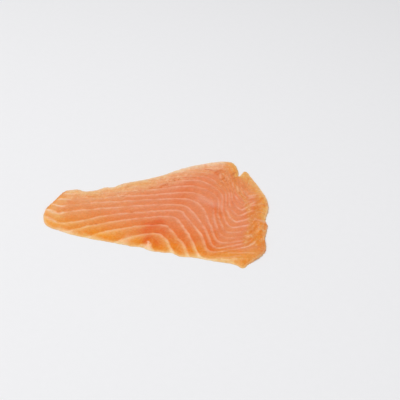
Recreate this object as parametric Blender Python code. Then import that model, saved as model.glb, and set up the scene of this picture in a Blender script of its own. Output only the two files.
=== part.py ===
"""A thin slice of smoked salmon, cut from the side of the fish and laid out flat.

The slice lies on the XY plane with +Z up. +X runs from the tail end to the head end,
+Y from the belly edge to the back edge. The origin is on the underside, at the middle
of the slice's length and width. Sizes are in millimetres and are turned to metres once.
"""

import bmesh
import bpy
import numpy as np
from mathutils import Vector, noise
from mathutils.bvhtree import BVHTree

MM = 0.001

# Thickness of the flesh
SLICE_THICKNESS = 2.3
BELLY_EDGE_THICKNESS = 0.9
BELLY_FEATHER = 16.0
RIM_THICKNESS_SHARE = 0.62
RIM_TAPER = 5.0
RIM_ROUNDING = 0.4

# Relief of the upper face
BAND_SWELL = 0.35
WAVE_HEIGHT = 0.3
WAVE_LENGTH = 38.0

# Crinkles along the head rim, where the skin was trimmed off
CRINKLE_START = 72.0
CRINKLE_FULL = 86.0
CRINKLE_HEIGHT = 0.5
CRINKLE_LENGTH = 11.0
FLAT_CORNER = -78.0
CRINKLED_FROM = -52.0

# Fineness of the model
OUTLINE_STEPS = 4
RAG_DEPTH = 0.35
RAG_LENGTH = 3.5
RAG_LAYERS = (5.0, 6.0)
CELL = 3.1
LINE_STEP = 0.25
STATION_STEP = 0.2
MERGE_DISTANCE = 0.08

# Outline of the slice, counter-clockwise from the tail end of the belly edge
BELLY_EDGE = [(-88.6, -71), (-82.2, -75.6), (-74.3, -77), (-66.4, -79.3), (-46, -80.5), (-20, -80.4),
              (-12, -80.6), (-4, -79.5), (4, -82), (16, -80.8), (21.5, -79.6), (29, -82.7),
              (38, -80.4), (55, -80.2), (73, -79.6)]
HEAD_EDGE = [(80.7, -82.7), (83.8, -76.4), (90.7, -64), (94.2, -53), (93.2, -43), (91.1, -36), (90.6, -27),
             (90, -12.8), (86.8, -4.9), (86.6, 13), (82.8, 29.2), (75.6, 43.7), (67, 57.5), (60.9, 66.8)]
NOTCH = [(57.8, 71.9), (54.7, 72.8), (51.5, 62), (49.9, 69.6)]
BACK_EDGE = [(44.3, 82.3), (40, 85.6), (30.3, 83.5), (7.2, 66.1), (-5, 52.8), (-16.2, 38.5),
             (-28.5, 26.9), (-45, 13.4), (-51.2, 4.5), (-58.6, 0.6), (-64.5, -6.3), (-72.3, -10.7),
             (-80.3, -9.8), (-84.2, -12.4)]
TAIL_EDGE = [(-88.2, -15.4), (-91.2, -24), (-92.4, -32.5), (-95.1, -51), (-93, -62)]

# Five of the fat lines between the bands of muscle, numbered from the belly edge up.
# Each is read at eight places: tail, bend, flank, crest, side, valley, turn and rim.
FAT_LINES = {
    -1: [(-46, -121), (-38, -113), (-21, -97), (0, -72.5),
         (12, -91), (23, -111), (48, -109), (56, -99)],
    4: [(-98.5, -51), (-80.5, -55), (-42.5, -31.5), (14.5, -7),
        (40, -39), (54, -63.5), (77.5, -48), (83.5, -29)],
    8: [(-95.5, -10), (-82.5, -12), (-41.5, 8), (19.5, 40),
        (48.5, -6), (61, -29), (74.5, -20), (78.5, -2)],
    12: [(-93.5, 28), (-79.5, 28), (-35.5, 50), (36.5, 70),
         (55, 24), (64, 12), (69.5, 20), (80.5, 28)],
    15: [(-89.5, 58), (-73.5, 60), (-23.5, 80), (46.5, 90),
         (58.5, 42), (66.5, 27), (74.5, 38), (84.5, 44)],
}


def clear_scene():
    for thing in list(bpy.data.objects):
        bpy.data.objects.remove(thing, do_unlink=True)


def smooth_step(start, end, value):
    """Goes from 0 at start to 1 at end with no corner."""
    t = np.clip((value - start) / (end - start), 0.0, 1.0)
    return t * t * (3.0 - 2.0 * t)


def curve_through(keys, values, places):
    """A smooth curve that has the given values at the keys, read at the places."""
    slopes = np.gradient(values, keys, axis=0)
    span = np.clip(np.searchsorted(keys, places, side="right") - 1, 0, len(keys) - 2)
    column = (-1,) + (1,) * (values.ndim - 1)
    width = (keys[span + 1] - keys[span]).reshape(column)
    t = (places - keys[span]).reshape(column) / width
    start = (1.0 + 2.0 * t) * (1.0 - t) ** 2 * values[span]
    leave = t * (1.0 - t) ** 2 * width * slopes[span]
    end = t * t * (3.0 - 2.0 * t) * values[span + 1]
    arrive = t * t * (t - 1.0) * width * slopes[span + 1]
    return start + leave + end + arrive


def even_noise(points, length, layer):
    """Even, seedless noise between -1 and 1; each layer is another pattern."""
    return np.array([noise.noise(Vector((x / length, y / length, layer))) for x, y in points])


def outline_points():
    """The cut edge as a closed ring, with a slightly ragged line."""
    corners = np.array(BELLY_EDGE + HEAD_EDGE + NOTCH + BACK_EDGE + TAIL_EDGE, float)
    count = len(corners)
    wrap = 3
    padded = np.vstack([corners[-wrap:], corners, corners[:wrap]])
    gaps = np.linalg.norm(np.diff(padded, axis=0), axis=1) ** 0.5
    keys = np.concatenate([[0.0], np.cumsum(gaps)])
    places = [np.linspace(keys[i], keys[i + 1], OUTLINE_STEPS, endpoint=False)
              for i in range(wrap, wrap + count)]
    ring = curve_through(keys, padded, np.concatenate(places))
    return ring + RAG_DEPTH * np.column_stack([even_noise(ring, RAG_LENGTH, layer) for layer in RAG_LAYERS])


def fat_line_sheet():
    """A sheet over the slice whose height at a point is the number of the fat line there."""
    numbers = np.array(sorted(FAT_LINES), float)
    lines = np.array([FAT_LINES[n] for n in sorted(FAT_LINES)], float)
    heights = np.arange(numbers[0], numbers[-1] + LINE_STEP / 2.0, LINE_STEP)
    rows = curve_through(numbers, lines, heights)
    stations = np.arange(lines.shape[1], dtype=float)
    places = np.arange(0.0, stations[-1] + STATION_STEP / 2.0, STATION_STEP)
    along = curve_through(stations, rows.transpose(1, 0, 2), places)
    across = len(heights)
    corners = [(x, y, height) for column in along for (x, y), height in zip(column, heights)]
    cells = [(c * across + r, (c + 1) * across + r, (c + 1) * across + r + 1, c * across + r + 1)
             for c in range(len(places) - 1) for r in range(across - 1)]
    return BVHTree.FromPolygons(corners, cells)


def line_number(sheet, point):
    """The fat line's number at a point, which runs on smoothly between two lines."""
    above = 100.0
    hit = sheet.ray_cast(Vector((point[0], point[1], above)), Vector((0.0, 0.0, -1.0)))
    return hit[0].z if hit[0] else 0.5


def rim_distance(ring, points):
    """Distance of each point from the cut edge."""
    sides = np.roll(ring, -1, axis=0) - ring
    nearest = np.full(len(points), np.inf)
    for corner, side in zip(ring, sides):
        t = np.clip((points - corner) @ side / (side @ side), 0.0, 1.0)
        gap = np.linalg.norm(points - corner - t[:, None] * side, axis=1)
        nearest = np.minimum(nearest, gap)
    return nearest


def flesh_thickness(sheet, points, rim):
    """Thickness at each point: thin at the belly edge, swollen between two fat lines."""
    belly = points[:, 1] - np.min(points[:, 1])
    feather = smooth_step(0.0, BELLY_FEATHER, belly)
    body = BELLY_EDGE_THICKNESS + (SLICE_THICKNESS - BELLY_EDGE_THICKNESS) * feather
    taper = RIM_THICKNESS_SHARE + (1.0 - RIM_THICKNESS_SHARE) * smooth_step(0.0, RIM_TAPER, rim)
    numbers = np.array([line_number(sheet, p) for p in points])
    swell = BAND_SWELL * np.sin(np.pi * numbers) ** 2 * smooth_step(0.0, RIM_TAPER, rim)
    return body * taper + swell + WAVE_HEIGHT * even_noise(points, WAVE_LENGTH, 2.0) * feather


def crinkle_lift(points):
    """How far the head rim's crinkles stand off the ground; zero over the rest."""
    near_rim = smooth_step(CRINKLE_START, CRINKLE_FULL, points[:, 0])
    near_rim *= smooth_step(FLAT_CORNER, CRINKLED_FROM, points[:, 1])
    stretched = points * np.array([1.0, 0.6])
    folds = np.clip(even_noise(stretched, CRINKLE_LENGTH, 7.0) * 2.0, 0.0, 1.0)
    return CRINKLE_HEIGHT * near_rim * folds


def flat_slab(ring):
    """The outline as a flat slab of full thickness with a rounded rim."""
    data = bpy.data.curves.new("slice_outline", "CURVE")
    data.dimensions = "2D"
    data.fill_mode = "BOTH"
    data.extrude = (SLICE_THICKNESS / 2.0 - RIM_ROUNDING) * MM
    data.bevel_depth = RIM_ROUNDING * MM
    data.bevel_resolution = 0
    data.offset = -RIM_ROUNDING * MM
    spline = data.splines.new("POLY")
    spline.points.add(len(ring) - 1)
    for knot, (x, y) in zip(spline.points, ring):
        knot.co = (x * MM, y * MM, 0.0, 1.0)
    spline.use_cyclic_u = True
    outline = bpy.data.objects.new("slice_outline", data)
    bpy.context.scene.collection.objects.link(outline)
    depsgraph = bpy.context.evaluated_depsgraph_get()
    mesh = bpy.data.meshes.new_from_object(outline.evaluated_get(depsgraph))
    bpy.data.objects.remove(outline, do_unlink=True)
    return mesh


def everything(shape):
    return shape.verts[:] + shape.edges[:] + shape.faces[:]


def cut_into_cells(shape, size):
    """Scores the slab into square cells along X and Y."""
    for axis in range(2):
        places = [vert.co[axis] for vert in shape.verts]
        normal = Vector((0.0, 0.0, 0.0))
        normal[axis] = 1.0
        for place in np.arange(min(places) + size, max(places) - size / 2.0, size):
            bmesh.ops.bisect_plane(shape, geom=everything(shape), plane_co=normal * place,
                                   plane_no=normal, dist=MERGE_DISTANCE * MM)


def shape_flesh(shape, ring):
    """Gives the slab its thickness, the bands of muscle and the crinkled rim."""
    points = np.array([vert.co[:2] for vert in shape.verts]) / MM
    rim = rim_distance(ring, points)
    thickness = flesh_thickness(fat_line_sheet(), points, rim)
    lift = crinkle_lift(points)
    for vert, thick, raised in zip(shape.verts, thickness, lift):
        share = vert.co.z / (SLICE_THICKNESS * MM) + 0.5
        vert.co.z = (raised + share * thick) * MM


def centre_on_origin(shape):
    """Puts the middle of the length and width, and the underside, at the origin."""
    places = np.array([vert.co for vert in shape.verts])
    low = places.min(axis=0)
    high = places.max(axis=0)
    middle = Vector(((low[0] + high[0]) / 2.0, (low[1] + high[1]) / 2.0, low[2]))
    bmesh.ops.translate(shape, verts=shape.verts, vec=-middle)


def flesh_material():
    """Cold-smoked flesh: orange, a little see-through, and moist with its own oil."""
    material = bpy.data.materials.new("smoked_salmon_flesh")
    material.use_nodes = True
    shader = material.node_tree.nodes["Principled BSDF"]
    shader.inputs["Base Color"].default_value = (0.80, 0.24, 0.07, 1.0)
    shader.inputs["Roughness"].default_value = 0.38
    shader.inputs["Metallic"].default_value = 0.0
    shader.inputs["IOR"].default_value = 1.38
    shader.inputs["Subsurface Weight"].default_value = 0.3
    shader.inputs["Subsurface Scale"].default_value = 0.003
    return material


def salmon_slice(collection):
    ring = outline_points()
    mesh = flat_slab(ring)
    shape = bmesh.new()
    shape.from_mesh(mesh)
    bpy.data.meshes.remove(mesh)
    bmesh.ops.remove_doubles(shape, verts=shape.verts, dist=MERGE_DISTANCE * MM)
    flat_angle = 0.01
    bmesh.ops.dissolve_limit(shape, angle_limit=flat_angle, verts=shape.verts, edges=shape.edges)
    cut_into_cells(shape, CELL * MM)
    shape_flesh(shape, ring)
    bmesh.ops.dissolve_limit(shape, angle_limit=flat_angle, verts=shape.verts, edges=shape.edges)
    bmesh.ops.triangulate(shape, faces=shape.faces)
    bmesh.ops.recalc_face_normals(shape, faces=shape.faces)
    centre_on_origin(shape)
    mesh = bpy.data.meshes.new("smoked_salmon_slice")
    shape.to_mesh(mesh)
    shape.free()
    mesh.shade_smooth()
    mesh.materials.append(flesh_material())
    piece = bpy.data.objects.new("smoked_salmon_slice", mesh)
    collection.objects.link(piece)
    return piece


def main():
    clear_scene()
    collection = bpy.data.collections.new("smoked_salmon")
    bpy.context.scene.collection.children.link(collection)
    salmon_slice(collection)


main()
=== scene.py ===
# %% [markdown]
# # A slice of smoked salmon, laid flat
# The object is one thin slice, cut on the slant from a cold-smoked side of salmon. It has a
# flat underside, a thin feathered belly edge, a crinkled rim at the head end, and bands of
# muscle between curved fat lines. The solid from the construction step fixes its place and
# size. This script gives it a finer surface in the same form, and its finish.

# %% Load the frame
import math

import bmesh
import bpy
import numpy as np
from mathutils import Matrix, Vector, noise
from mathutils.bvhtree import BVHTree
from mathutils.geometry import delaunay_2d_cdt


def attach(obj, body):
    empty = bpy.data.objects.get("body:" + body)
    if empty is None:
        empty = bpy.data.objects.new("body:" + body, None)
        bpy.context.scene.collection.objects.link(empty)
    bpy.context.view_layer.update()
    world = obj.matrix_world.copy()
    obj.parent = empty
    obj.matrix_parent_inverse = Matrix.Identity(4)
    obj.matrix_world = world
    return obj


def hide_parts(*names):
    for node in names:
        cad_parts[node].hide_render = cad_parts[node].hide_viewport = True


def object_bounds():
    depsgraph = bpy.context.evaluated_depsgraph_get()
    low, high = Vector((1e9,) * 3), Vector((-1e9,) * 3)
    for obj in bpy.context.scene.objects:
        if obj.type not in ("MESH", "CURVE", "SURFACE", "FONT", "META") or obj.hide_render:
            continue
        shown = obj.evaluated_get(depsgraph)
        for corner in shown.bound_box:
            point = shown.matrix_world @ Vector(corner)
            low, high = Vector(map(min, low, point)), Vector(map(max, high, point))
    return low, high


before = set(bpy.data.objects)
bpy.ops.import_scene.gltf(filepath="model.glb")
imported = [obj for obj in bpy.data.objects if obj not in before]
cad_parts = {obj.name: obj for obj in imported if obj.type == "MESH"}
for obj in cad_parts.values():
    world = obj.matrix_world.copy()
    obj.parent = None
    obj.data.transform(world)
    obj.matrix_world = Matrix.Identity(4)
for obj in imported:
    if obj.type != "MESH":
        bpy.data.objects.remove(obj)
CAD_LOW, CAD_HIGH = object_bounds()
MM = 0.001
print("solid's box in mm:", [round(c / MM, 1) for c in CAD_LOW], [round(c / MM, 1) for c in CAD_HIGH])

# %% [markdown]
# ## The cut edge
# A slice's outline is partly the knife's and partly the fish's. The belly edge is nearly
# straight and frays, the head edge follows the trimmed skin, a small wedge is torn out near
# the top, and the back edge steps down to the tail. A traced outline would need hundreds of
# points. A few on each edge, joined by a smooth curve, are enough, and noise then makes the
# line as ragged as cut flesh. Plain noise has no seed, so every run gives the same edge.

# %% Outline points in millimetres, counter-clockwise
BELLY_EDGE = [(-88.6, -71), (-82.2, -75.6), (-74.3, -77), (-66.4, -79.3), (-46, -80.5), (-20, -80.4),
              (-12, -80.6), (-4, -79.5), (4, -82), (16, -80.8), (21.5, -79.6), (29, -82.7),
              (38, -80.4), (55, -80.2), (73, -79.6)]
HEAD_EDGE = [(80.7, -82.7), (83.8, -76.4), (90.7, -64), (94.2, -53), (93.2, -43), (91.1, -36),
             (90.6, -27), (90, -12.8), (86.8, -4.9), (86.6, 13), (82.8, 29.2), (75.6, 43.7),
             (67, 57.5), (60.9, 66.8)]
NOTCH = [(57.8, 71.9), (54.7, 72.8), (51.5, 62), (49.9, 69.6)]
BACK_EDGE = [(44.3, 82.3), (40, 85.6), (30.3, 83.5), (7.2, 66.1), (-5, 52.8), (-16.2, 38.5),
             (-28.5, 26.9), (-45, 13.4), (-51.2, 4.5), (-58.6, 0.6), (-64.5, -6.3), (-72.3, -10.7),
             (-80.3, -9.8), (-84.2, -12.4)]
TAIL_EDGE = [(-88.2, -15.4), (-91.2, -24), (-92.4, -32.5), (-95.1, -51), (-93, -62)]
EDGES = {"belly": BELLY_EDGE, "head": HEAD_EDGE + NOTCH, "back": BACK_EDGE, "tail": TAIL_EDGE}


def curve_through(keys, values, places):
    """A smooth curve that has the given values at the keys, read at the places."""
    slopes = np.gradient(values, keys, axis=0)
    span = np.clip(np.searchsorted(keys, places, side="right") - 1, 0, len(keys) - 2)
    column = (-1,) + (1,) * (values.ndim - 1)
    width = (keys[span + 1] - keys[span]).reshape(column)
    t = (places - keys[span]).reshape(column) / width
    start = (1.0 + 2.0 * t) * (1.0 - t) ** 2 * values[span]
    leave = t * (1.0 - t) ** 2 * width * slopes[span]
    end = t * t * (3.0 - 2.0 * t) * values[span + 1]
    arrive = t * t * (t - 1.0) * width * slopes[span + 1]
    return start + leave + end + arrive


def even_noise(points, length, layer):
    """Seedless noise between -1 and 1; each layer is another pattern."""
    return np.array([noise.noise(Vector((x / length, y / length, layer))) for x, y in points])


# %% Draw the ragged outline
RING_STEP = 0.8
RAGS = [(0.35, 3.5), (0.36, 1.9)]
RAG_LAYERS = (5.0, 6.0)
OVERLAP = 3

corners = np.array([point for edge in EDGES.values() for point in edge], float)
padded = np.vstack([corners[-OVERLAP:], corners, corners[:OVERLAP]])
keys = np.concatenate([[0.0], np.cumsum(np.linalg.norm(np.diff(padded, axis=0), axis=1) ** 0.5)])
ring = []
ring_edge = []
for index, name in enumerate(name for name, edge in EDGES.items() for _ in edge):
    first = index + OVERLAP
    length = np.linalg.norm(padded[first + 1] - padded[first])
    count = max(2, int(round(length / RING_STEP)))
    places = np.linspace(keys[first], keys[first + 1], count, endpoint=False)
    ring.append(curve_through(keys, padded, places))
    ring_edge += [name] * count
ring = np.concatenate(ring)
ring_edge = np.array(ring_edge)
for depth, wavelength in RAGS:
    ring = ring + depth * np.column_stack([even_noise(ring, wavelength, layer) for layer in RAG_LAYERS])
print("outline:", len(ring), "points,", np.round(np.ptp(ring, axis=0), 1), "mm")


def distance_to(points, edge=None):
    """Distance in mm of each point from the cut edge, or from one named stretch of it."""
    nearest = np.full(len(points), np.inf)
    sides = np.roll(ring, -1, axis=0) - ring
    for corner, side, name in zip(ring, sides, ring_edge):
        if edge is None or name == edge:
            t = np.clip((points - corner) @ side / (side @ side), 0.0, 1.0)
            gap = points - corner - t[:, None] * side
            nearest = np.minimum(nearest, np.einsum("ij,ij->i", gap, gap))
    return np.sqrt(nearest)


# %% [markdown]
# ## The fat lines
# The side muscle of a fish is a stack of W-shaped blocks with a thin sheet of fat between
# two of them. A slanting cut shows them as nested lines that rise to a crest, fall to a
# valley and turn up again at the head end. Each line could be a curve of its own, but then
# nothing would say how far any point is from its line. So eleven lines are given at thirteen
# places each, and the others lie between them, on one sheet whose height is the line's
# number. A ray dropped on it reads where between two lines a point is. A second sheet has
# the distance along the line as its height.

# %% Fat lines by number, from the tail rim over the crest and the valley to the head rim
FAT_LINES = {
    -1: [(-46, -121), (-38, -113), (-36.5, -112), (-30, -106), (-21, -97), (-9, -83), (0, -72.5),
         (4.5, -78), (12, -91), (23, -111), (36, -113), (48, -109), (56, -99)],
    0: [(-66, -111), (-56, -103), (-54, -102), (-46, -95), (-32, -86), (-17, -71), (4, -58.5),
        (13, -64.5), (23, -80), (35, -99), (47, -103), (60, -100), (68, -91)],
    1: [(-84, -103), (-73, -96), (-71, -95), (-60, -87), (-41, -72), (-18.5, -55.5), (6.5, -44),
        (14, -50), (29, -68), (42, -89), (56, -92), (72, -90), (84, -83)],
    2: [(-100, -91), (-86, -86), (-83, -85), (-66, -76), (-44.5, -59.5), (-19.5, -42), (9.5, -28.5),
        (18.5, -35), (32, -56), (46.5, -79), (61, -76.5), (76, -72), (98.5, -66)],
    3: [(-95, -61.5), (-79, -69.3), (-75.5, -68.3), (-61.5, -60.5), (-43.5, -45), (-18.5, -31),
        (13, -16.5), (21.5, -25), (39, -48), (51.5, -70), (65.5, -63), (80, -51.5), (85.5, -38)],
    4: [(-97.5, -49.5), (-81.5, -56), (-78.5, -52.5), (-60.5, -40.5), (-42.5, -31.5), (-19.5, -19.5),
        (14.5, -7), (25.5, -16), (41, -39), (54, -62.7), (65.5, -57), (77.5, -46), (83, -29)],
    6: [(-96.5, -34), (-83, -30.5), (-80.5, -30), (-60.5, -21), (-41.5, -10.5), (-19.5, -1),
        (18.5, 17), (36.5, 7), (45.5, -22), (57.5, -44.8), (68.5, -41.5), (78, -33.5), (81.5, -17)],
    8: [(-95.5, -14), (-83, -11.5), (-81, -11), (-60.5, -2), (-41.5, 8), (-19.5, 19), (19.5, 40),
        (41.5, 25), (49, -6), (60.7, -27.7), (68.5, -23.5), (74.5, -18.5), (78.5, -2)],
    10: [(-95.5, 8), (-81.5, 8), (-80, 9), (-59.5, 18), (-39.5, 28), (-17.5, 42), (29.5, 56),
         (46.5, 32), (53.5, 6), (63, -7), (67, -4.5), (69.5, 0), (77.5, 10)],
    12: [(-93.5, 28), (-79.5, 28), (-78, 29), (-57.5, 38), (-35.5, 50), (-11.5, 66), (36.5, 70),
         (49.5, 42), (55, 24), (64, 12), (66.5, 16), (69.5, 20), (80.5, 28)],
    15: [(-89.5, 58), (-73.5, 60), (-72, 61), (-49.5, 68), (-23.5, 80), (6.5, 94), (46.5, 90),
         (54.5, 60), (58.5, 42), (66.5, 27), (70.5, 32), (74.5, 38), (84.5, 44)],
}
CREST = 6

# %% Weave the lines into two sheets
LINE_STEP = 0.2
PLACE_STEP = 0.3
numbers = np.array(sorted(FAT_LINES), float)
lines = np.array([FAT_LINES[number] for number in sorted(FAT_LINES)], float)
heights = np.arange(numbers[0], numbers[-1] + LINE_STEP / 2.0, LINE_STEP)
rows = curve_through(numbers, lines, heights)
gaps = np.linalg.norm(np.diff(lines, axis=1), axis=2).mean(axis=0) ** 0.5
stations = np.concatenate([[0.0], np.cumsum(gaps)])
places = np.arange(0.0, stations[-1], PLACE_STEP)
woven = curve_through(stations, rows.transpose(1, 0, 2), places)
steps_mm = np.linalg.norm(np.diff(woven, axis=0), axis=2)
run = np.concatenate([np.zeros((1, len(heights))), np.cumsum(steps_mm, axis=0)])
run = run - run[np.abs(places - stations[CREST]).argmin()]
across = len(heights)
cells = [(c * across + r, (c + 1) * across + r, (c + 1) * across + r + 1, c * across + r + 1)
         for c in range(len(places) - 1) for r in range(across - 1)]
numbered = [(x, y, number) for column in woven for (x, y), number in zip(column, heights)]
measured = [(x, y, mm) for column, mms in zip(woven, run) for (x, y), mm in zip(column, mms)]
NUMBER_SHEET = BVHTree.FromPolygons(numbered, cells)
RUN_SHEET = BVHTree.FromPolygons(measured, cells)
print("fat lines:", len(heights), "rows of", len(places), "places")


def read_sheet(sheet, points):
    """The sheet's height at each point, or at its nearest place beyond the sheet's rim."""
    values = []
    for x, y in points:
        hit = sheet.ray_cast(Vector((x, y, 1000.0)), Vector((0.0, 0.0, -1.0)))[0]
        values.append(hit.z if hit else sheet.find_nearest(Vector((x, y, 0.0)))[0].z)
    return np.array(values)


# %% [markdown]
# ## The skins
# A slice this thin is two skins sewn together along the cut edge: a fine upper one that
# carries the relief, and a plainer one underneath. Both start as even points inside the
# outline, joined by a Delaunay triangulation, which follows a ragged edge better than a
# grid of squares and needs no trimming.

# %% Even points, joined inside the outline
UPPER_SPACING = 0.75
UPPER_INSET = 0.45 * UPPER_SPACING
UNDER_SPACING = 2.2
UNDER_INSET = 0.6


def flat_skin(spacing, inset):
    """Points and triangles of a flat skin; its first points are the outline's."""
    low = ring.min(axis=0)
    high = ring.max(axis=0)
    row_gap = spacing * math.sqrt(3.0) / 2.0
    inner = [(x + spacing / 2.0 * (row % 2), y)
             for row, y in enumerate(np.arange(low[1], high[1], row_gap))
             for x in np.arange(low[0], high[0], spacing)]
    inner = np.array(inner)
    inner = inner[distance_to(inner) > inset]
    points = [Vector(point) for point in np.vstack([ring, inner])]
    found = delaunay_2d_cdt(points, [], [list(range(len(ring)))], 1, 1e-6)
    used = sorted({corner for face in found[2] for corner in face})
    place = {corner: index for index, corner in enumerate(used)}
    flat = np.array([found[0][corner][:] for corner in used])
    return flat, [[place[corner] for corner in face] for face in found[2]]


upper, upper_faces = flat_skin(UPPER_SPACING, UPPER_INSET)
under, under_faces = flat_skin(UNDER_SPACING, UNDER_INSET)
print("upper skin:", len(upper_faces), "triangles; underside:", len(under_faces))

# %% [markdown]
# ## Thickness and relief
# The flesh is about 2.3 mm thick and thins out over the last 16 mm of the belly edge. Each
# band of muscle swells a little between its fat lines, and the fat itself lies in a shallow
# groove. Where the skin was trimmed off the head end, the rim is crinkled and stands off
# the ground in places. These forms could be sculpted, but as rules they repeat the solid's.
# Only the rim is a little thinner and rounder here, and grooves, fibres and creases are new.

# %% Sizes of the flesh and its rim, in millimetres
SLICE_THICKNESS = 2.3
BELLY_EDGE_THICKNESS = 0.55
BELLY_FEATHER = 16.0
RIM_THICKNESS_SHARE = 0.62
RIM_TAPER = 5.0
RIM_ROUNDING = 0.9
RIM_SEAM = 0.05

# %% Sizes of the relief, in millimetres
BAND_SWELL = 0.35
GROOVE_DEPTH = 0.16
GROOVE_WIDTH = 0.7
FIBRE_DEPTH = 0.07
FIBRE_LENGTH = 1.1
WAVE_HEIGHT = 0.3
WAVE_LENGTH = 38.0
CREASE_HEIGHT = 0.45
CREASE_LENGTH = 3.2
CREASE_START = 16.0
CREASE_FULL = 5.0

# %% Sizes of the crinkled head rim, in millimetres
CRINKLE_START = 72.0
CRINKLE_FULL = 86.0
CRINKLE_HEIGHT = 0.5
CRINKLE_LENGTH = 11.0
FLAT_CORNER = -78.0
CRINKLED_FROM = -52.0


# %% Rules for the height
def smooth_step(start, end, value):
    """Goes from 0 at start to 1 at end with no corner."""
    t = np.clip((value - start) / (end - start), 0.0, 1.0)
    return t * t * (3.0 - 2.0 * t)


def measure(points):
    """What each point needs to know: its line, and its distance from the edges."""
    step = 0.5
    line = read_sheet(NUMBER_SHEET, points)
    slope_x = (read_sheet(NUMBER_SHEET, points + [step, 0.0]) - line) / step
    slope_y = (read_sheet(NUMBER_SHEET, points + [0.0, step]) - line) / step
    gap = 1.0 / np.clip(np.hypot(slope_x, slope_y), 0.03, 1.0)
    found = {"line": line, "gap_mm": gap, "run_mm": read_sheet(RUN_SHEET, points)}
    for name in EDGES:
        found[name + "_mm"] = distance_to(points, name)
    found["rim_mm"] = np.minimum.reduce([found[name + "_mm"] for name in EDGES])
    return found


def lift(points):
    """How far the crinkles of the head rim stand off the ground."""
    near_rim = smooth_step(CRINKLE_START, CRINKLE_FULL, points[:, 0])
    near_rim *= smooth_step(FLAT_CORNER, CRINKLED_FROM, points[:, 1])
    folds = np.clip(even_noise(points * [1.0, 0.6], CRINKLE_LENGTH, layer=7.0) * 2.0, 0.0, 1.0)
    return CRINKLE_HEIGHT * near_rim * folds


def thickness(points, found):
    """The flesh over each point, with its bands, grooves, fibres and creases."""
    feather = smooth_step(0.0, BELLY_FEATHER, points[:, 1] - ring[:, 1].min())
    body = BELLY_EDGE_THICKNESS + (SLICE_THICKNESS - BELLY_EDGE_THICKNESS) * feather
    inside = smooth_step(0.0, RIM_TAPER, found["rim_mm"])
    body = body * (RIM_THICKNESS_SHARE + (1.0 - RIM_THICKNESS_SHARE) * inside)
    swell = BAND_SWELL * np.sin(np.pi * found["line"]) ** 2 * inside
    beside = (found["line"] - np.round(found["line"])) * found["gap_mm"]
    groove = GROOVE_DEPTH * np.exp(-((beside / GROOVE_WIDTH) ** 2)) * inside
    along_lines = np.column_stack([found["run_mm"], found["line"] * found["gap_mm"] * 0.25])
    fibre = FIBRE_DEPTH * even_noise(along_lines, FIBRE_LENGTH, layer=3.0)
    wave = WAVE_HEIGHT * even_noise(points, WAVE_LENGTH, layer=2.0) * feather
    creased = smooth_step(CREASE_START, CREASE_FULL, found["head_mm"]) * inside
    crease = CREASE_HEIGHT * creased * even_noise(points * [1.0, 0.55], CREASE_LENGTH, layer=11.0)
    return body + swell - groove + fibre + wave + crease


# %% Shape both skins
upper_found = measure(upper)
under_found = measure(under)
roundness = np.sqrt(1.0 - (1.0 - np.clip(upper_found["rim_mm"] / RIM_ROUNDING, 0.0, 1.0)) ** 2)
upper_z = lift(upper) + thickness(upper, upper_found) * (RIM_SEAM + (1.0 - RIM_SEAM) * roundness)
tucked = 1.0 - smooth_step(0.0, UNDER_INSET, under_found["rim_mm"])
under_z = lift(under) + thickness(under, under_found) * RIM_SEAM * tucked
print("upper face, mm above the ground:", np.round(np.percentile(upper_z, [0, 5, 50, 95, 100]), 2))

# %% [markdown]
# ## Where each tone lies
# The slice isn't one orange. Towards the belly the flesh is deep orange with broad creamy
# fades of fat, near the back it is ochre and granular where it dried in the smoke, the head
# end is brownish and mottled, and the tail end is paler. Single marks, such as a torn spot,
# small pits and bright flecks, make it a real slice and not a pattern. Such tones could be
# painted on an image. Here they are masks on the mesh, one number for each point, because a
# rule can follow the cut edge and the fat lines. The finish reads the masks by name.

# %% Gather the points of both skins, and shaken copies that give uneven borders
points = np.vstack([upper, under])
found = {name: np.concatenate([upper_found[name], under_found[name]]) for name in upper_found}
x, y = points.T
slow = even_noise(points, 17.0, layer=21.0)
quick = even_noise(points, 5.0, layer=22.0)
speckle = even_noise(points, 2.2, layer=23.0)
shaken = points + np.column_stack([quick, slow]) * 1.5
blurred = points + np.column_stack([speckle + quick, speckle - quick]) * 1.2
flicked = points + np.column_stack([speckle, quick]) * 0.6
masks = {name: found[name] for name in ("line", "gap_mm", "run_mm")}


def nearness(points, strokes):
    """How near each point is to a stroke: its strength on it, and 0 well beyond its half-width.

    A stroke is a path in millimetres, its half-width and its strength.
    """
    value = np.zeros(len(points))
    for path, half_width, strength in strokes:
        gap = np.full(len(points), np.inf)
        for start, end in zip(np.array(path[:-1], float), np.array(path[1:], float)):
            t = np.clip((points - start) @ (end - start) / ((end - start) @ (end - start)), 0.0, 1.0)
            gap = np.minimum(gap, np.linalg.norm(points - start - t[:, None] * (end - start), axis=1))
        value = np.maximum(value, strength * np.exp(-((gap / half_width) ** 2)))
    return value


# %% Deep orange and broad fades towards the belly
# The legs are the stretches of the lines that fall from the crest to the valley.
belly_mm = found["belly_mm"]
legs = smooth_step(5.0, 26.0, x) * smooth_step(58.0, 48.0, x) * smooth_step(-28.0, -58.0, y + 6.0 * slow)
reach = 56.0 - 32.0 * smooth_step(44.0, 56.0, x) - 18.0 * smooth_step(-50.0, -85.0, x)
orange = np.maximum(smooth_step(1.0, 0.3, (belly_mm + 6.0 * slow) / reach), legs)
belly = smooth_step(24.0, 4.0, belly_mm + 5.0 * slow)
broad = smooth_step(42.0, 12.0, belly_mm + 6.0 * slow) * smooth_step(60.0, 46.0, x)
valley = smooth_step(46.0, 56.0, x) * smooth_step(-78.0, -64.0, y)
masks["orange_tone"] = 0.85 * orange
masks["belly_tone"] = 0.9 * belly
masks["tail_tone"] = 0.9 * smooth_step(95.0, 0.0, found["tail_mm"] + 8.0 * slow)

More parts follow.
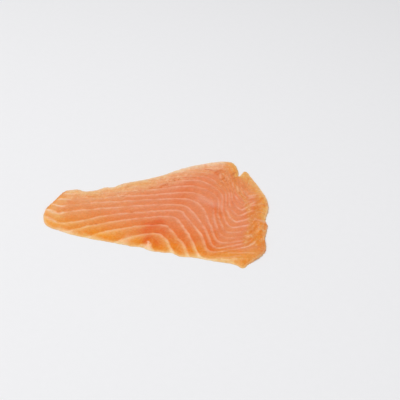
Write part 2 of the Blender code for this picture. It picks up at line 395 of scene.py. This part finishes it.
# %% Dried, pitted flesh along the back
PITTED_SEAM = [
    ([(-66, -21), (-54, -16)], 2.5, 0.5),
    ([(-46, -13), (-31, 0), (-24, 6), (-8, 22), (-3, 33), (6, 38), (13, 42), (22, 54),
      (31, 61)], 3.0, 1.0),
]
back_mm = found["back_mm"] + 3.5 * quick
crust = smooth_step(27.0, 8.0, back_mm)
unlined = smooth_step(19.0, 12.0, back_mm)
masks["crust_tone"] = 0.9 * crust
masks["pits"] = nearness(shaken, PITTED_SEAM)

# %% Brownish, mottled flesh at the head end
OCHRE_SEAM = [
    ([(47, 66), (50, 47), (55, 35), (62, 25), (67, 15), (70, 6), (73, -5), (75, -16)], 3.0, 1.0),
]
# The rind is the strip along the head rim, and the shoulder is the corner at its upper end.
rind = smooth_step(71.0, 77.0, x + 2.5 * quick) * smooth_step(-62.0, -44.0, y)
head = smooth_step(12.0, 4.0, found["head_mm"] + 4.0 * quick) * smooth_step(50.0, 62.0, x)
low_corner = smooth_step(-46.0, -58.0, y)
shoulder = smooth_step(30.0, 40.0, x) * smooth_step(24.0, 42.0, y + 8.0 * slow)
seam = nearness(shaken, OCHRE_SEAM)
mottled = np.maximum.reduce([head * (1.0 - 0.6 * low_corner), rind, 0.8 * seam, 0.5 * shoulder])
grit = np.maximum.reduce([unlined, 0.8 * head, 0.8 * rind, seam, masks["pits"], shoulder])
masks["head_tone"] = 0.85 * mottled
masks["grit"] = np.clip(grit, 0.0, 1.0)
masks["patchy"] = np.maximum(mottled, 0.5 * masks["grit"])

# %% [markdown]
# ## How clear the fat lines are
# The lines are crisp near the belly. They fade where the flesh dried, in the middle of the
# back half and around the bend beside the crest, and a few short stretches are clearer than
# the rest. One strength for all of them would look like a printed pattern. A number for
# each point lets the finish dim, widen and break up the lines by place.

# %% Where the fat lines are faint, where they are clear, and how wide they are
CREST_BEND = [([(26, 32), (34, 12), (40, -6)], 8.0, 1.0)]
CLEAR_LINES = [
    ([(2, 36), (13, 39)], 3.0, 1.0), ([(2, 25), (9, 28)], 2.5, 0.8),
    ([(-91, -52), (-79, -54)], 3.0, 1.0), ([(-89, -43), (-80, -42)], 2.5, 0.8),
    ([(-90, -63), (-81, -68)], 3.0, 0.7), ([(-89, -33), (-83, -31)], 2.5, 0.8),
    ([(-88, -23), (-82, -21)], 2.5, 0.7), ([(24, -48), (33, -60)], 3.0, 0.6),
    ([(14, -33), (23, -45)], 3.0, 0.5), ([(28, -50), (33, -58)], 2.5, 0.8),
    ([(39, -70), (44, -77)], 2.5, 0.8), ([(36, -44), (43, -56)], 3.0, 0.9),
    ([(15, -66), (20, -76)], 3.0, 0.4), ([(74, -57), (81, -51), (85, -42)], 3.0, 1.0),
    ([(52, -63), (58, -61)], 3.0, 0.8), ([(58, -24), (61, -28), (72, -21)], 3.0, 0.8),
    ([(60, -16), (62, -18), (70, -13)], 3.0, 0.8), ([(60, -3), (63, -7), (68, -2)], 3.0, 0.7),
    ([(62, 4), (63.5, 1.5), (67, 8)], 3.0, 0.9), ([(66, -60), (74, -56)], 2.5, 0.7),
    ([(-50, -34), (-38, -29)], 3.0, 0.6), ([(-26, -27), (-14, -20)], 3.0, 0.5),
]
# The quiet stretch is near the tail, on the back's side of the fourth line.
line = found["line"]
back_half = smooth_step(6.0, 9.5, line + slow) * smooth_step(50.0, 36.0, x) * smooth_step(-50.0, -10.0, x)
quiet = smooth_step(4.3, 4.9, line) * smooth_step(-86.0, -80.0, x) * smooth_step(-50.0, -62.0, x)
bend = 0.75 * nearness(points, CREST_BEND)
faint = np.maximum.reduce([1.25 * unlined, 1.3 * rind, head, back_half, quiet, 1.05 * shoulder, bend,
                           0.4 * valley])
faint = np.clip(faint, 0.0, 1.3)
masks["line_loss"] = 0.22 * faint
masks["clear_lines"] = 0.35 * nearness(points, CLEAR_LINES)
masks["line_width_mm"] = 2.6 + 0.7 * smooth_step(0.0, 1.0, orange)
print("lines are faint on", round(100 * (faint > 0.5).mean()), "percent of the points")

# %% How far the fat fades, and how strong each grain is
fade_reach = 0.42 + 0.58 * broad - 0.24 * valley - 0.12 * legs * smooth_step(18.0, 8.0, belly_mm)
masks["fade_reach"] = fade_reach * (0.35 + 0.65 * smooth_step(1.25, 0.4, faint))
masks["fade_power"] = 1.6 + 0.3 * smooth_step(0.0, 1.0, belly)
masks["streak_share"] = 0.7 + 1.4 * crust
masks["fibre_share"] = 0.35 + crust
masks["fine_share"] = 0.5 + 1.6 * crust

# %% [markdown]
# ## Spots, marks and rims
# Some places follow no rule: a red spot near the belly, amber ones where the edge is thin,
# small nicks and bright flakes. Each is a short stroke, given one by one, and the shaken points
# give it an uneven border. The rims do follow a rule, which is their distance from the cut
# edge. Random spots would be less work, but they would make some other slice.

# %% Spots of another tone
DEEP_SPOTS = [
    ([(43, -5), (48, -13)], 6.0, 0.85), ([(46, -56), (52, -68)], 6.0, 0.9),
    ([(43, 42), (45, 60)], 5.0, 0.35), ([(49, 12), (50, 26)], 5.0, 0.6), ([(8, 0), (12, 30)], 7.0, 0.5),
    ([(32, 60), (38, 72)], 4.5, 0.8), ([(72, -4), (76, 10)], 5.0, 0.5),
    ([(4, -68), (10, -76)], 5.0, 0.8), ([(22, -52), (32, -66)], 6.0, 0.4),
    ([(50, -26), (48, -50)], 8.0, 0.35), ([(-85, -37), (-79, -35)], 3.0, 0.3),
]
RED_SPOTS = [
    ([(-6, -58), (-3, -48)], 6.0, 1.0), ([(0, -42), (2, -39)], 4.0, 0.7),
    ([(-3, -72), (-1.5, -63)], 3.0, 0.75), ([(2, -54), (6, -52)], 5.0, 0.5),
]
AMBER_SPOTS = [
    ([(37, 79), (42, 74), (46, 66)], 4.5, 0.5), ([(-92, -64), (-87, -70), (-79, -74)], 5.0, 1.0),
    ([(-88, -17), (-90, -27), (-91.5, -38), (-93, -48)], 2.0, 0.8),
    ([(-92.5, -48), (-92, -44)], 3.2, 0.75), ([(-88.5, -25), (-87, -29)], 2.2, 0.5),
    ([(84, -18), (86, -30), (86, -44)], 4.5, 0.75), ([(80, -75), (86, -66), (88, -56)], 4.5, 0.35),
    ([(-45, -74), (-31, -76)], 3.5, 1.0), ([(-14, -75), (-9, -74)], 3.5, 0.8),
    ([(6, -79), (12, -76), (17, -80)], 3.0, 0.7),
]
GOLD_SPOTS = [
    ([(62, -77), (74, -73), (88, -62)], 8.0, 0.65), ([(-90, -58), (-80, -61)], 4.5, 0.85),
    ([(56, -12), (60, -30), (62, -52)], 8.0, 0.15), ([(-84, -17), (-62, -14)], 7.0, 0.65),
    ([(-50, 2), (-28, 18)], 9.0, 0.7), ([(57, 66), (60, 55)], 5.0, 0.7),
    ([(72, 32), (66, 46)], 5.0, 0.4), ([(-84, -64), (-50, -62)], 16.0, 0.42),
    ([(-50, -62), (-14, -60)], 13.0, 0.28),
]
ROSY_SPOTS = [
    ([(0, 12), (12, 50)], 12.0, 0.3), ([(28, 8), (42, 2)], 5.0, 0.9),
    ([(56, -2), (62, -16), (60, -44)], 7.0, 0.15), ([(5, 52), (12, 58)], 5.0, 0.7),
    ([(60, 20), (60, 4)], 6.0, 0.2),
]
masks["deep_spot"] = 0.8 * nearness(blurred, DEEP_SPOTS)
masks["red_spot"] = 0.9 * nearness(blurred, RED_SPOTS)
masks["amber_spot"] = 0.8 * nearness(blurred, AMBER_SPOTS)
masks["gold_spot"] = 0.85 * nearness(blurred, GOLD_SPOTS)
masks["rosy_spot"] = 0.8 * nearness(blurred, ROSY_SPOTS)
print("spots:", sum(len(spots) for spots in (DEEP_SPOTS, RED_SPOTS, AMBER_SPOTS, GOLD_SPOTS, ROSY_SPOTS)))

# %% Single pale and dark marks, and one painted shadow line
PALE_MARKS = [
    ([(19, 64), (26, 66.5), (31, 68)], 0.8, 0.65), ([(33, 76), (35, 70)], 0.8, 0.4),
    ([(-2.3, 51), (8.5, 64), (31, 80.5)], 4.0, 0.85), ([(-17, -71), (-19, -80)], 3.5, 0.4),
    ([(-44, -4), (-34, 5), (-26, 12)], 6.0, 0.22),
    ([(86.5, -2), (86.5, 13), (82.5, 29), (75, 43.5), (66, 57)], 1.8, 0.45),
    ([(79, 32), (70, 46), (62, 60)], 3.0, 0.18),
    ([(-92.5, -51.5), (-87, -53.5), (-82.5, -55.5), (-79, -52)], 0.8, 0.75),
    ([(-92, -42), (-87, -44.5), (-81, -42.5)], 0.8, 0.75),
    ([(-92, -61.5), (-86, -65), (-79.5, -69)], 0.8, 0.55), ([(-76, -76.5), (-64, -77.5)], 2.2, 0.45),
    ([(-88.5, -22.5), (-84, -22), (-79, -19.5)], 0.8, 0.8), ([(-87.5, -31.8), (-80, -30)], 0.8, 0.6),
    ([(-86, -17.5), (-80, -16.5)], 0.7, 0.6), ([(75, -57), (80.5, -52), (84, -44)], 0.8, 0.55),
    ([(66, -68), (76, -65), (86, -61.5)], 0.7, 0.4), ([(58, -76), (68, -73), (76, -68.5)], 0.7, 0.35),
    ([(49, -79), (54, -79.5)], 0.8, 0.6), ([(0, -72), (0.5, -77)], 0.7, 1.0),
    ([(0.3, -76), (-2.5, -82)], 1.3, 1.0), ([(0.5, -76), (4, -82)], 1.3, 1.0),
    ([(79, -9.5), (86, -9.5)], 1.8, 0.5), ([(34.5, 58), (36, 52)], 0.9, 0.55),
    ([(42, 56), (44, 50)], 0.8, 0.45), ([(53, 41), (56, 33)], 1.1, 0.5),
    ([(48, 47), (50, 40)], 0.8, 0.4), ([(76, -40), (79, -35)], 0.9, 0.6),
    ([(70, 13), (73, 18)], 1.0, 0.6), ([(82, -14), (84, -26)], 0.9, 0.35),
]
DARK_MARKS_AND_SHADOW = [
    # The first dark stroke is a painted shadow under the raised pale fleck above it. The other dark
    # strokes are specks in the flesh.
    ([(20, 61.5), (28, 63.5)], 0.8, 1.0), ([(-3, 33), (-2.5, 32)], 0.8, 1.0),
    ([(0, -43), (6, -42)], 0.8, 1.0), ([(37, 47), (40, 52)], 0.8, 1.0),
    ([(45, 58), (47, 66)], 1.1, 1.0), ([(-48, -61), (-47.5, -61)], 0.7, 0.9),
    ([(-25, -33), (-24, -33)], 0.6, 0.8), ([(1, -57), (5, -57)], 0.6, 0.8),
    ([(-31, 0), (-30, 0)], 0.7, 1.0), ([(-8.5, 21), (-7, 25)], 1.0, 1.0),
    ([(-39, -11), (-38, -10)], 0.9, 0.9), ([(30, 60), (34, 65)], 1.4, 0.6),
    ([(47.5, 53), (48.5, 56)], 0.8, 0.8), ([(50.5, 57), (51, 60)], 0.8, 0.7),
    ([(40, 43), (43, 47)], 1.4, 0.5), ([(33, 56), (34, 58)], 0.8, 0.6),
    ([(38, 61), (38.5, 66)], 0.9, 0.4),
]
masks["pale_mark"] = 0.65 * nearness(flicked, PALE_MARKS)
masks["dark_mark"] = 0.7 * nearness(flicked, DARK_MARKS_AND_SHADOW)
print("marks:", len(PALE_MARKS), "pale and", len(DARK_MARKS_AND_SHADOW), "dark")

# %% Rims: paler tones, brown where the smoke dried it, and painted light where the flesh is thin
OUT_OF_REACH = 19.0
tail_cut_mm = np.where(y > -52.0, found["tail_mm"], OUT_OF_REACH)
low_head_mm = np.where(y < -8.0, found["head_mm"], OUT_OF_REACH)
high_head_mm = np.where(y > -8.0, found["head_mm"], OUT_OF_REACH)
belly_rim_mm = 5.0 + 2.0 * smooth_step(30.0, 45.0, x)
brown = np.maximum(smooth_step(2.6, 1.0, tail_cut_mm), 0.35 * smooth_step(1.2, 0.3, low_head_mm))
masks["tail_rim"] = 0.8 * smooth_step(14.0, 5.0, found["tail_mm"] + 2.0 * quick)
masks["back_rim"] = 0.9 * smooth_step(9.0, 1.5, found["back_mm"] + 2.0 * quick)
masks["head_rim"] = 0.85 * smooth_step(8.5, 1.5, high_head_mm + 1.5 * quick)
masks["belly_rim"] = 0.85 * smooth_step(belly_rim_mm, 0.8, belly_mm + 1.5 * quick)
# The pale band along the thin cut edge is painted light. It stands for light glowing through the thin
# flesh, and it also lightens the shade on the rounded rim.
masks["thin_edge"] = 0.45 * smooth_step(2.0, 0.2, found["rim_mm"]) * smooth_step(1.5, 4.0, tail_cut_mm)
masks["brown_rim"] = 0.65 * brown * smooth_step(-0.2, 0.25, quick + speckle)
print("masks:", ", ".join(sorted(masks)))

# %% [markdown]
# ## One closed piece
# The two skins meet along the cut edge, where their points are the same, and welding those
# makes one closed piece. Solidify would be quicker, but it can't give the underside fewer
# faces. The piece takes the solid's place, and its box is set over the solid's box.

# %% Put both skins and their masks in one mesh
places_mm = np.vstack([np.column_stack([upper, upper_z]), np.column_stack([under, under_z])])
middle = (places_mm[:, :2].min(axis=0) + places_mm[:, :2].max(axis=0)) / 2.0
SHIFT = middle - [(CAD_LOW[axis] + CAD_HIGH[axis]) / 2.0 / MM for axis in range(2)]
places_mm[:, :2] -= SHIFT
turned = [[corner + len(upper) for corner in reversed(face)] for face in under_faces]
skin_mesh = bpy.data.meshes.new("salmon_slice_flesh")
skin_mesh.from_pydata((places_mm * MM).tolist(), [], [list(face) for face in upper_faces] + turned)
for name, values in masks.items():
    attribute = skin_mesh.attributes.new(name, "FLOAT", "POINT")
    attribute.data.foreach_set("value", values.astype(np.float32))

# %% Sew the skins together along the cut edge
WELD_DISTANCE = 0.01
SHARP_ANGLE = 1.0
shape = bmesh.new()
shape.from_mesh(skin_mesh)
bmesh.ops.remove_doubles(shape, verts=shape.verts, dist=WELD_DISTANCE * MM)
bmesh.ops.recalc_face_normals(shape, faces=shape.faces)
open_edges = sum(len(edge.link_faces) != 2 for edge in shape.edges)
print("faces:", len(shape.faces), "open edges:", open_edges, "cm3:", round(shape.calc_volume() * 1e6, 1))
for face in shape.faces:
    face.smooth = True
for edge in shape.edges:
    edge.smooth = edge.calc_face_angle() < SHARP_ANGLE
shape.to_mesh(skin_mesh)
shape.free()

# %% The piece, in the solid's place
salmon = bpy.data.objects.new("salmon_slice_flesh", skin_mesh)
bpy.context.scene.collection.objects.link(salmon)
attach(salmon, "root")
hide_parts("smoked_salmon_slice")
print("moved by, in mm:", np.round(-SHIFT, 2), "to the solid's place")

# %% [markdown]
# ## Helpers for the finish
# Colours are written as the sRGB hex values that a colour picker shows, and one function
# turns them to the linear values that shaders work in. A second one adds a node of any
# kind, sets it and links it, so that each line of a material reads as one step. Settings
# that many nodes share have names.

# %% Colour and node helpers
ADD = {"operation": "ADD"}
SUBTRACT = {"operation": "SUBTRACT"}
MULTIPLY = {"operation": "MULTIPLY"}
MULTIPLY_ADD = {"operation": "MULTIPLY_ADD"}
MAXIMUM = {"operation": "MAXIMUM"}
POWER = {"operation": "POWER"}
FRACTION = {"operation": "FRACT"}
SOFT = {"interpolation_type": "SMOOTHSTEP"}
OF_COLOURS = {"data_type": "RGBA"}
MIX_SHARE, MIX_FIRST, MIX_SECOND, MIX_RESULT = 0, 6, 7, 2


def linear(hex_colour):
    """An sRGB hex colour as linear red, green, blue and full alpha."""
    parts = [int(hex_colour[i:i + 2], 16) / 255.0 for i in (1, 3, 5)]
    return tuple(c / 12.92 if c <= 0.04045 else ((c + 0.055) / 1.055) ** 2.4 for c in parts) + (1.0,)


def add_node(tree, kind, settings, inputs, output=0):
    """Adds a node, gives each input its value or its link, and returns one output."""
    node = tree.nodes.new("ShaderNode" + kind)
    for name, value in settings.items():
        setattr(node, name, value)
    for name, value in inputs.items() if isinstance(inputs, dict) else enumerate(inputs):
        if isinstance(value, bpy.types.NodeSocket):
            tree.links.new(value, node.inputs[name])
        else:
            node.inputs[name].default_value = value
    return node.outputs[output]


# %% [markdown]
# ## Cold-smoked flesh
# Smoked salmon is dense, moist muscle that lets light in a few millimetres, with oil on its
# face. The light that comes back out makes the thin edges glow orange, and the oil gives a
# soft, broad sheen. Water-rich flesh has an IOR near 1.38. A little subsurface scattering is
# enough for so thin a slice, and keeps the fat lines crisp. The pale glow along the thin cut edge is
# painted on as a colour layer as well.

# %% Start the flesh material
flesh = bpy.data.materials.new("cold_smoked_salmon")
flesh.use_nodes = True
tree = flesh.node_tree
shader = tree.nodes["Principled BSDF"]
shader.inputs["IOR"].default_value = 1.38
shader.inputs["Specular IOR Level"].default_value = 0.2
shader.inputs["Subsurface Weight"].default_value = 0.15
shader.inputs["Subsurface Radius"].default_value = (1.0, 0.35, 0.12)
shader.inputs["Subsurface Scale"].default_value = 0.0015
reads = {name: add_node(tree, "Attribute", {"attribute_name": name}, {}, "Fac") for name in masks}

# %% [markdown]
# ## Grain at its real size
# Flesh has patches at many sizes, from soft clouds of a few millimetres to specks of one.
# Muscle fibres run across the bands, and fat streaks run along them. All of it is noise
# around zero. For round patches the scale comes from their size. The others are drawn out:
# streaks, fibres and pits follow the fat lines, with the distance on the line and its number
# as coordinates, and dried patches follow the head rim. Real fibres are finer than a pixel
# of the picture, so they are drawn coarser than they are.

# %% Round patches: size in millimetres, and detail
ROUND_PATCHES = {
    "slow_waver": (7.0, 2.0),
    "quick_waver": (1.8, 2.0),
    "dash": (8.0, 3.0),
    "soft_cloud": (4.0, 2.0),
    "fine_cloud": (1.1, 3.0),
    "fleck": (1.9, 3.0),
    "speck": (1.3, 2.0),
    "pale_speck": (1.6, 2.0),
    "oil": (3.0, 2.0),
    "dimple": (1.4, 3.0),
}
position = add_node(tree, "TexCoord", {}, {}, "Object")
noises = {}
for name, (size, detail) in ROUND_PATCHES.items():
    inputs = {"Vector": position, "Scale": 1.0 / (size * MM), "Detail": detail}
    noises[name] = add_node(tree, "TexNoise", {}, inputs, "Fac")

# %% Drawn-out patches: what they follow, how many there are to a unit of it, and detail
course = add_node(tree, "CombineXYZ", {}, [reads["run_mm"], reads["line"]])
DRAWN_OUT_PATCHES = {
    "streak": (course, (0.11, 2.3, 1.0), 3.0),
    "fine_streak": (course, (0.3, 5.5, 1.0), 2.0),
    "fibre": (course, (0.8, 0.5, 1.0), 2.0),
    "pit": (course, (0.22, 5.0, 1.0), 2.0),
    "dried": (position, (450.0, 110.0, 450.0), 2.0),
    "patch": (position, (280.0, 110.0, 280.0), 2.0),
}
for name, (followed, scale, detail) in DRAWN_OUT_PATCHES.items():
    squeezed = add_node(tree, "Mapping", {}, {"Vector": followed, "Scale": scale})
    inputs = {"Vector": squeezed, "Scale": 1.0, "Detail": detail}
    noises[name] = add_node(tree, "TexNoise", {}, inputs, "Fac")
around_zero = {name: add_node(tree, "Math", SUBTRACT, [value, 0.5]) for name, value in noises.items()}
print("patterns in the flesh:", ", ".join(around_zero))

# %% [markdown]
# ## Bands of muscle and fat lines
# On the real slice each sheet of fat shows as a thin pale line with a sharp outer side. On
# its inner side the fat runs under the cut face, so the colour fades back to lean flesh over
# a few millimetres, and over a whole band near the belly. The line's number gives the place
# within a band, and the gap between two lines turns that to millimetres. Lines drawn as
# geometry would look laid on, and in the material they can waver, break up and fade.

# %% Distance from the fat line, with a wavering course
wavering = add_node(tree, "Math", MULTIPLY_ADD, [around_zero["slow_waver"], 0.22, reads["line"]])
wavering = add_node(tree, "Math", MULTIPLY_ADD, [around_zero["quick_waver"], 0.10, wavering])
within = add_node(tree, "Math", FRACTION, [wavering])
still_to_go = add_node(tree, "Math", SUBTRACT, [1.0, within])
inner_mm = add_node(tree, "Math", MULTIPLY, [still_to_go, reads["gap_mm"]])
outer_mm = add_node(tree, "Math", MULTIPLY, [within, reads["gap_mm"]])

# %% The thin line, broken up into dashes
OUTER_WIDTH = 1.4
width = add_node(tree, "Math", MULTIPLY_ADD, [around_zero["soft_cloud"], 2.4, reads["line_width_mm"]])
inner_side = add_node(tree, "MapRange", SOFT, [inner_mm, width, 0.0])
outer_side = add_node(tree, "MapRange", SOFT, [outer_mm, OUTER_WIDTH, 0.0])
thin_line = add_node(tree, "Math", MAXIMUM, [inner_side, outer_side])
dashes = add_node(tree, "Math", SUBTRACT, [around_zero["dash"], reads["line_loss"]])
clearness = add_node(tree, "MapRange", SOFT, [dashes, -0.24, 0.06, 0.08, 0.66])
clearness = add_node(tree, "Math", ADD, [clearness, reads["clear_lines"]])
thin_line = add_node(tree, "Math", MULTIPLY, [thin_line, clearness])

# %% The share of fat in the flesh: the fade beside the line, and grain
rise = add_node(tree, "Math", POWER, [within, reads["fade_power"]])
fat_share = add_node(tree, "Math", MULTIPLY, [rise, reads["fade_reach"]])
dried = add_node(tree, "Math", MULTIPLY, [around_zero["dried"], reads["grit"]])
fat_share = add_node(tree, "Math", ADD, [fat_share, dried])
GRAINS = [("streak", reads["streak_share"]), ("fibre", reads["fibre_share"]),
          ("fine_streak", reads["fine_share"]), ("fleck", 1.1)]
for name, strength in GRAINS:
    fat_share = add_node(tree, "Math", MULTIPLY_ADD, [around_zero[name], strength, fat_share])

# %% [markdown]
# ## Colour by place
# Lean flesh, fat and the fat line each have their own colour, and each goes over to another
# one as its mask grows. The order matters, because each tone lies on top of those before
# it, and the rims come near the end. Three colours for each tone keep the lines visible in
# all of them, which one colour laid over everything would not.

# %% Lean flesh, fat and fat line, toned by place
colours = {"lean": linear("#E28252"), "fat": linear("#EA9B73"), "line": linear("#F1AD8E")}
TONES = [
    ("tail_tone", "#E4945A", "#EEB484", "#F4C2A0"),
    ("orange_tone", "#E26F26", "#EB9954", "#F2B488"),
    ("belly_tone", "#E58010", "#F0B268", "#F5C58E"),
    ("rosy_spot", "#E69474", "#ECA88A", "#F2B8A0"),
    ("deep_spot", "#DE651E", "#E48248", "#ED9E76"),
    ("red_spot", "#DC5216", "#E27238", "#EC926C"),
    ("crust_tone", "#E8A06E", "#F3C29C", "#F4C8A4"),
    ("head_tone", "#DF873A", "#E69E5E", "#EBAE7C"),
    ("gold_spot", "#E6A252", "#ECB570", "#F1C38A"),
    ("tail_rim", "#ECAA6A", "#F0B77C", "#F8CDA6"),
    ("back_rim", "#EEC392", "#F0CAA0", "#F2D0AA"),
    ("head_rim", "#EAAA52", "#EFBA70", "#F2C488"),
    ("belly_rim", "#ECAE60", "#F4CA92", "#F7D8AE"),
    ("amber_spot", "#E8860E", "#EFA040", "#F2B468"),
]
for tone, *toned_colours in TONES:
    for kind, toned in zip(list(colours), toned_colours):
        inputs = {MIX_SHARE: reads[tone], MIX_FIRST: colours[kind], MIX_SECOND: linear(toned)}
        colours[kind] = add_node(tree, "Mix", OF_COLOURS, inputs, MIX_RESULT)

# %% Join the three colours, and lay the rims, marks and painted edge light over them
LAYERS = [(fat_share, colours["fat"]), (thin_line, colours["line"]),
          # The thin-edge layer is painted light, not a tone of the flesh.
          (reads["thin_edge"], linear("#F6D2A0")), (reads["brown_rim"], linear("#C87C34")),
          # The dark-mark layer holds dark specks of the flesh and one painted shadow line.
          (reads["pale_mark"], linear("#F8D2B2")), (reads["dark_mark"], linear("#C85E22"))]
colour = colours["lean"]
for share, layer_colour in LAYERS:
    inputs = {MIX_SHARE: share, MIX_FIRST: colour, MIX_SECOND: layer_colour}
    colour = add_node(tree, "Mix", OF_COLOURS, inputs, MIX_RESULT)

# %% [markdown]
# ## Pits, patches and specks
# Where the flesh dried, its face is broken: small reddish pits along the edge of the crust,
# brown and cream patches at the head end, and specks of both over all dried flesh. Each is
# noise cut off softly at a height, so only its peaks or its hollows show, and multiplied by
# a mask. Scattered pieces of geometry would cost far more for marks about a millimetre wide.

# %% Each kind: its noise, where that starts and ends, its most, its mask and its colour
patches = add_node(tree, "Math", MULTIPLY, [around_zero["patch"], reads["patchy"]])
SPECKS = [
    (around_zero["pit"], 0.02, 0.14, 0.85, reads["pits"], "#D8661E"),
    (patches, 0.0, 0.22, 0.65, 1.0, "#DE7420"),
    (patches, -0.02, -0.24, 0.55, 1.0, "#EDBC84"),
    (around_zero["speck"], 0.08, 0.24, 0.4, reads["grit"], "#DC8242"),
    (around_zero["pale_speck"], -0.10, -0.26, 0.65, reads["grit"], "#F5D2AA"),
]
for value, start, end, most, mask, speck_colour in SPECKS:
    share = add_node(tree, "MapRange", SOFT, [value, start, end, 0.0, most])
    share = add_node(tree, "Math", MULTIPLY, [share, mask])
    inputs = {MIX_SHARE: share, MIX_FIRST: colour, MIX_SECOND: linear(speck_colour)}
    colour = add_node(tree, "Mix", OF_COLOURS, inputs, MIX_RESULT)

# %% Lighter and darker clouds over all of it
CLOUDS = [(around_zero["fine_cloud"], 0.34), (around_zero["soft_cloud"], 0.16), (dried, 0.08)]
brightness = 1.0
for cloud, strength in CLOUDS:
    brightness = add_node(tree, "Math", MULTIPLY_ADD, [cloud, strength, brightness])
clouded = add_node(tree, "HueSaturation", {}, {"Value": brightness, "Color": colour})
tree.links.new(clouded, shader.inputs["Base Color"])

# %% [markdown]
# ## Moist sheen
# The oil lies unevenly, so the face is smoother in some places than in others, and the cut
# fibres and small dimples keep any highlight from being a clean one. That unevenness is too
# fine for the mesh, so a bump of about a third of a millimetre gives it.

# %% Uneven oil and a finely uneven face
rough = add_node(tree, "Math", MULTIPLY_ADD, [around_zero["oil"], 0.35, 0.40])
tree.links.new(rough, shader.inputs["Roughness"])
uneven = add_node(tree, "Math", MULTIPLY_ADD, [around_zero["fibre"], 0.7, around_zero["dimple"]])
bump = add_node(tree, "Bump", {}, {"Strength": 0.5, "Distance": 0.00035, "Height": uneven})
tree.links.new(bump, shader.inputs["Normal"])
skin_mesh.materials.append(flesh)
print("flesh material:", len(tree.nodes), "nodes")

# %% [markdown]
# ## Floor
# The floor is plain and pale, so that nothing competes with the flesh. It lies a hair below
# the slice, because two faces at one height would flicker. Matt paint has a fine grain and
# almost no shine.

# %% Floor
FLOOR_HALF_WIDTH = 3.0
FLOOR_GAP = 0.00003
floor_mesh = bpy.data.meshes.new("pale_floor")
plan = bmesh.new()
bmesh.ops.create_grid(plan, x_segments=1, y_segments=1, size=FLOOR_HALF_WIDTH)
plan.to_mesh(floor_mesh)
plan.free()
floor = bpy.data.objects.new("pale_floor", floor_mesh)
floor.location.z = CAD_LOW[2] - FLOOR_GAP
bpy.context.scene.collection.objects.link(floor)
print("floor at, in mm:", round(floor.location.z / MM, 2))

# %% Matt white paint
paint = bpy.data.materials.new("matt_white_paint")
paint.use_nodes = True
painted = paint.node_tree.nodes["Principled BSDF"]
paint_grain = add_node(paint.node_tree, "TexNoise", {}, {"Scale": 900.0}, "Fac")
inputs = {MIX_SHARE: paint_grain, MIX_FIRST: linear("#ECECEE"), MIX_SECOND: linear("#EEEEF0")}
shades = add_node(paint.node_tree, "Mix", OF_COLOURS, inputs, MIX_RESULT)
paint.node_tree.links.new(shades, painted.inputs["Base Color"])
painted.inputs["Roughness"].default_value = 0.9
floor_mesh.materials.append(paint)

# %% [markdown]
# ## Light
# The picture has almost no shadow, so most of the light comes evenly from a white room. One
# large soft panel above, a little to the front and the left, adds the oil's faint sheen and
# a soft edge to the relief. A small lamp would throw a hard shadow. The standard view keeps
# the colours as they were picked, where a filmic one would dull them.

# %% Light
ROOM_STRENGTH = 0.53
PANEL_WIDTH = 1.8
PANEL_POWER = 16.5
PANEL_PLACE = (-0.35, -0.2, 1.45)
room = bpy.data.worlds.new("bright_room")
room.use_nodes = True
room.node_tree.nodes["Background"].inputs["Color"].default_value = (1.0, 1.0, 1.0, 1.0)
room.node_tree.nodes["Background"].inputs["Strength"].default_value = ROOM_STRENGTH
bpy.context.scene.world = room
panel_data = bpy.data.lights.new("soft_panel", "AREA")
panel_data.size = PANEL_WIDTH
panel_data.energy = PANEL_POWER
panel = bpy.data.objects.new("soft_panel", panel_data)
panel.location = PANEL_PLACE
panel.rotation_euler = (-Vector(PANEL_PLACE)).to_track_quat("-Z", "Y").to_euler()
bpy.context.scene.collection.objects.link(panel)
bpy.context.scene.view_settings.view_transform = "Standard"
print("room strength:", ROOM_STRENGTH, "panel:", PANEL_POWER, "W at", PANEL_PLACE)

# %% [markdown]
# ## The camera
# The photograph looks down at the slice from about 31 degrees, a little from the head end,
# with the camera tipped slightly. A matrix product of three plain turns says this more
# clearly than three Euler angles, because the tip is about the camera's own line of sight.

# %% Place the camera
VIEW_AZIMUTH = 9.10
VIEW_ELEVATION = 30.66
VIEW_ROLL = 5.39
VIEW_DISTANCE = 972.0
VIEW_LENS = 99.8
SENSOR_WIDTH = 36.0
LOOK_AT = Vector((25.96 - SHIFT[0], 10.36 - SHIFT[1], 0.0))

turn = Matrix.Rotation(math.radians(VIEW_AZIMUTH), 4, "Z")
tilt = Matrix.Rotation(math.radians(90.0 - VIEW_ELEVATION), 4, "X")
roll = Matrix.Rotation(math.radians(VIEW_ROLL), 4, "Z")
camera_turn = turn @ tilt @ roll
camera_data = bpy.data.cameras.new("photo_camera")
camera_data.lens = VIEW_LENS
camera_data.sensor_width = SENSOR_WIDTH
camera = bpy.data.objects.new("photo_camera", camera_data)
backwards = camera_turn @ Vector((0.0, 0.0, 1.0))
camera.matrix_world = Matrix.Translation((LOOK_AT + backwards * VIEW_DISTANCE) * MM) @ camera_turn
bpy.context.scene.collection.objects.link(camera)
bpy.context.scene.camera = camera
print("camera at (m):", [round(c, 3) for c in camera.matrix_world.translation])
